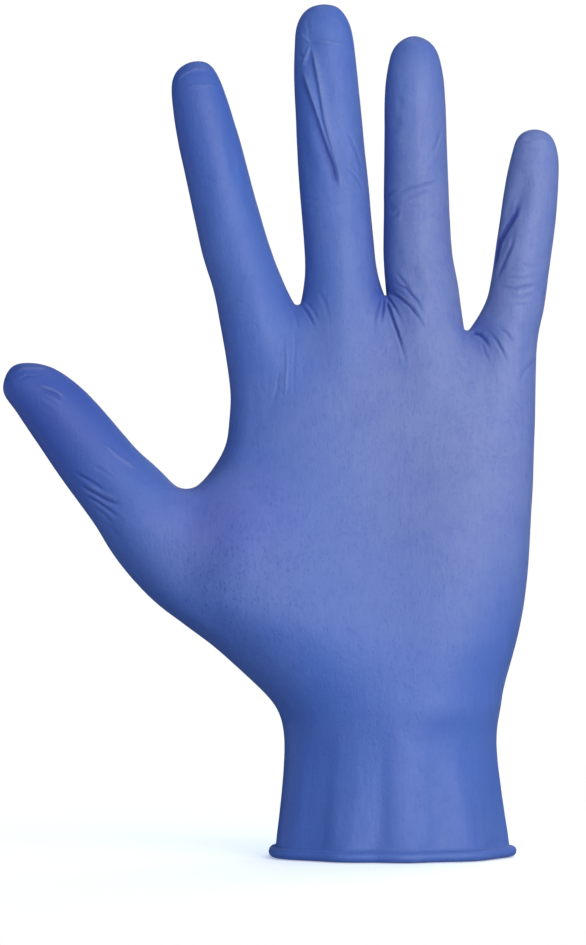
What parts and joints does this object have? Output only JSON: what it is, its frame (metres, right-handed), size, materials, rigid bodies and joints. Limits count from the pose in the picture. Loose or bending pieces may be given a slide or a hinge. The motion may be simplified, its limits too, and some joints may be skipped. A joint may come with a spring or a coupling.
{
  "type": "exam glove",
  "caption": "Disposable blue nitrile exam glove in the form it takes on a spread left hand, hollow, with a rolled bead at the open cuff.",
  "frame": {"origin": "middle of the cuff's mouth, level with the bottom of its bead", "axes": "+Z from the cuff to the fingertips, palm towards -Y, thumb towards -X"},
  "size_m": [0.156, 0.055, 0.24],
  "materials": {
    "nitrile": "satin"
  },
  "bodies": {
    "root": {"glove": "nitrile"}
  },
  "joints": []
}
